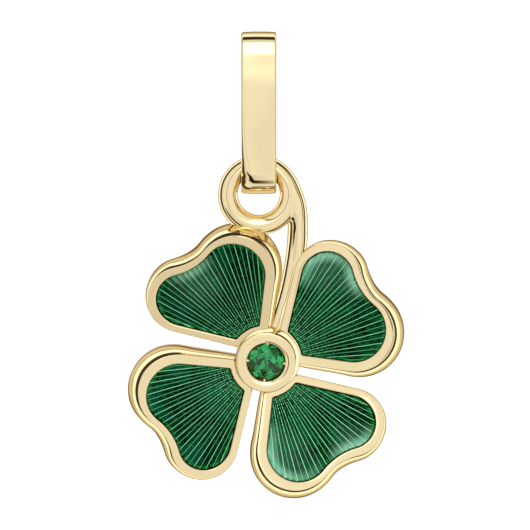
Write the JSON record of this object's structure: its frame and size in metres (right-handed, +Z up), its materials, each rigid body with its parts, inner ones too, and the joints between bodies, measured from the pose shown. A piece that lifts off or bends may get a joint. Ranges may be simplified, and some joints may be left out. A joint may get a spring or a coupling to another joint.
{
  "type": "clover charm",
  "caption": "Gold clover charm with green enamel leaves turned like blades, a round green stone in its middle, and a curved stem whose ring swings in a long loop bail.",
  "frame": {"origin": "the top of the bail's inside, in the middle of its width, where the chain that carries the charm bears", "axes": "+Z up, the front with the stone and the enamel faces -Y, and the chain runs along X through the bail"},
  "size_m": [0.015, 0.003, 0.0253],
  "materials": {
    "gold": "high polish, pale yellow gold",
    "green_enamel": "translucent glossy enamel over engraved rays",
    "green_stone": "faceted and polished round stone"
  },
  "bodies": {
    "bail": {"bail": "gold"},
    "clover": {"clover_body": "gold", "enamel_top_left": "green_enamel", "enamel_top_right": "green_enamel", "enamel_bottom_left": "green_enamel", "enamel_bottom_right": "green_enamel", "stone": "green_stone"}
  },
  "joints": [
    {"name": "ring_swing", "type": "hinge", "parent": "bail", "child": "clover", "pos_m": [0, 0, -0.00816], "axis": [0, 1, 0], "range_deg": [-95, 105]}
  ]
}
